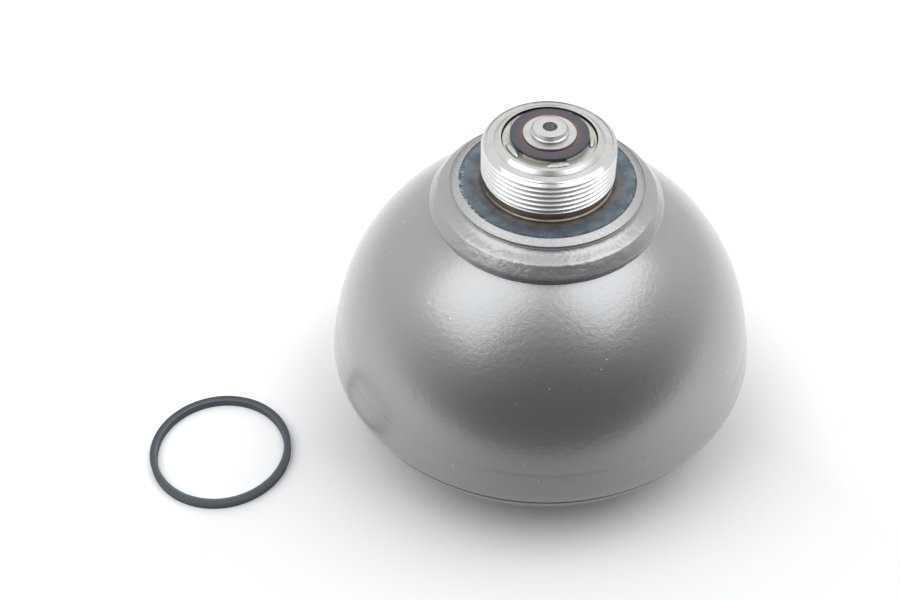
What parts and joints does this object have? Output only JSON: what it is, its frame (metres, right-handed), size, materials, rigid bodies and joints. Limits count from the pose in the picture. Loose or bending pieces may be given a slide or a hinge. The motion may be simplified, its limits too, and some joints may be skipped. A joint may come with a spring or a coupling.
{
  "type": "diaphragm accumulator",
  "caption": "Welded gas-charged diaphragm accumulator with a threaded neck, a shim damper valve in its bore, an inner rubber diaphragm and a loose square-section seal ring.",
  "frame": {"origin": "on the axis, in the plane of the flat base that it stands on", "axes": "+Z along the axis out of the threaded neck; -Y towards the viewer of the picture; +X to the viewer's right"},
  "size_m": [0.1714, 0.118, 0.1011],
  "materials": {
    "shell_paint": "satin",
    "neck_steel": "satin",
    "damper_steel": "satin",
    "shim_steel": "satin",
    "inner_steel": "satin",
    "plug_steel": "satin",
    "seal_copper": "satin",
    "diaphragm_rubber": "matte",
    "ring_rubber": "satin"
  },
  "bodies": {
    "vessel": {"clamp_ring": "inner_steel", "damper_body": "damper_steel", "damper_pin": "damper_steel", "diaphragm": "diaphragm_rubber", "fill_boss": "inner_steel", "fill_boss_weld": "inner_steel", "fill_plug": "plug_steel", "lower_shell": "shell_paint", "lower_shim_1": "shim_steel", "lower_shim_2": "shim_steel", "lower_shim_3": "shim_steel", "lower_spacer": "damper_steel", "neck": "neck_steel", "neck_weld": "shell_paint", "pin_collar": "damper_steel", "plug_seal": "seal_copper", "seal_ring": "ring_rubber", "shell_weld": "shell_paint", "upper_shell": "shell_paint", "upper_shim_1": "shim_steel", "upper_shim_2": "shim_steel", "upper_shim_3": "shim_steel", "upper_spacer": "damper_steel"},
    "disc": {"closing_disc": "inner_steel", "disc_washer": "inner_steel"}
  },
  "joints": [
    {"name": "diaphragm_stroke", "type": "slide", "parent": "vessel", "child": "disc", "axis": [0, 0, 1], "range_m": [-0.042, 0], "stiffness_N_per_m": 150, "springref_m": 0.02, "deforming": ["diaphragm"]}
  ]
}
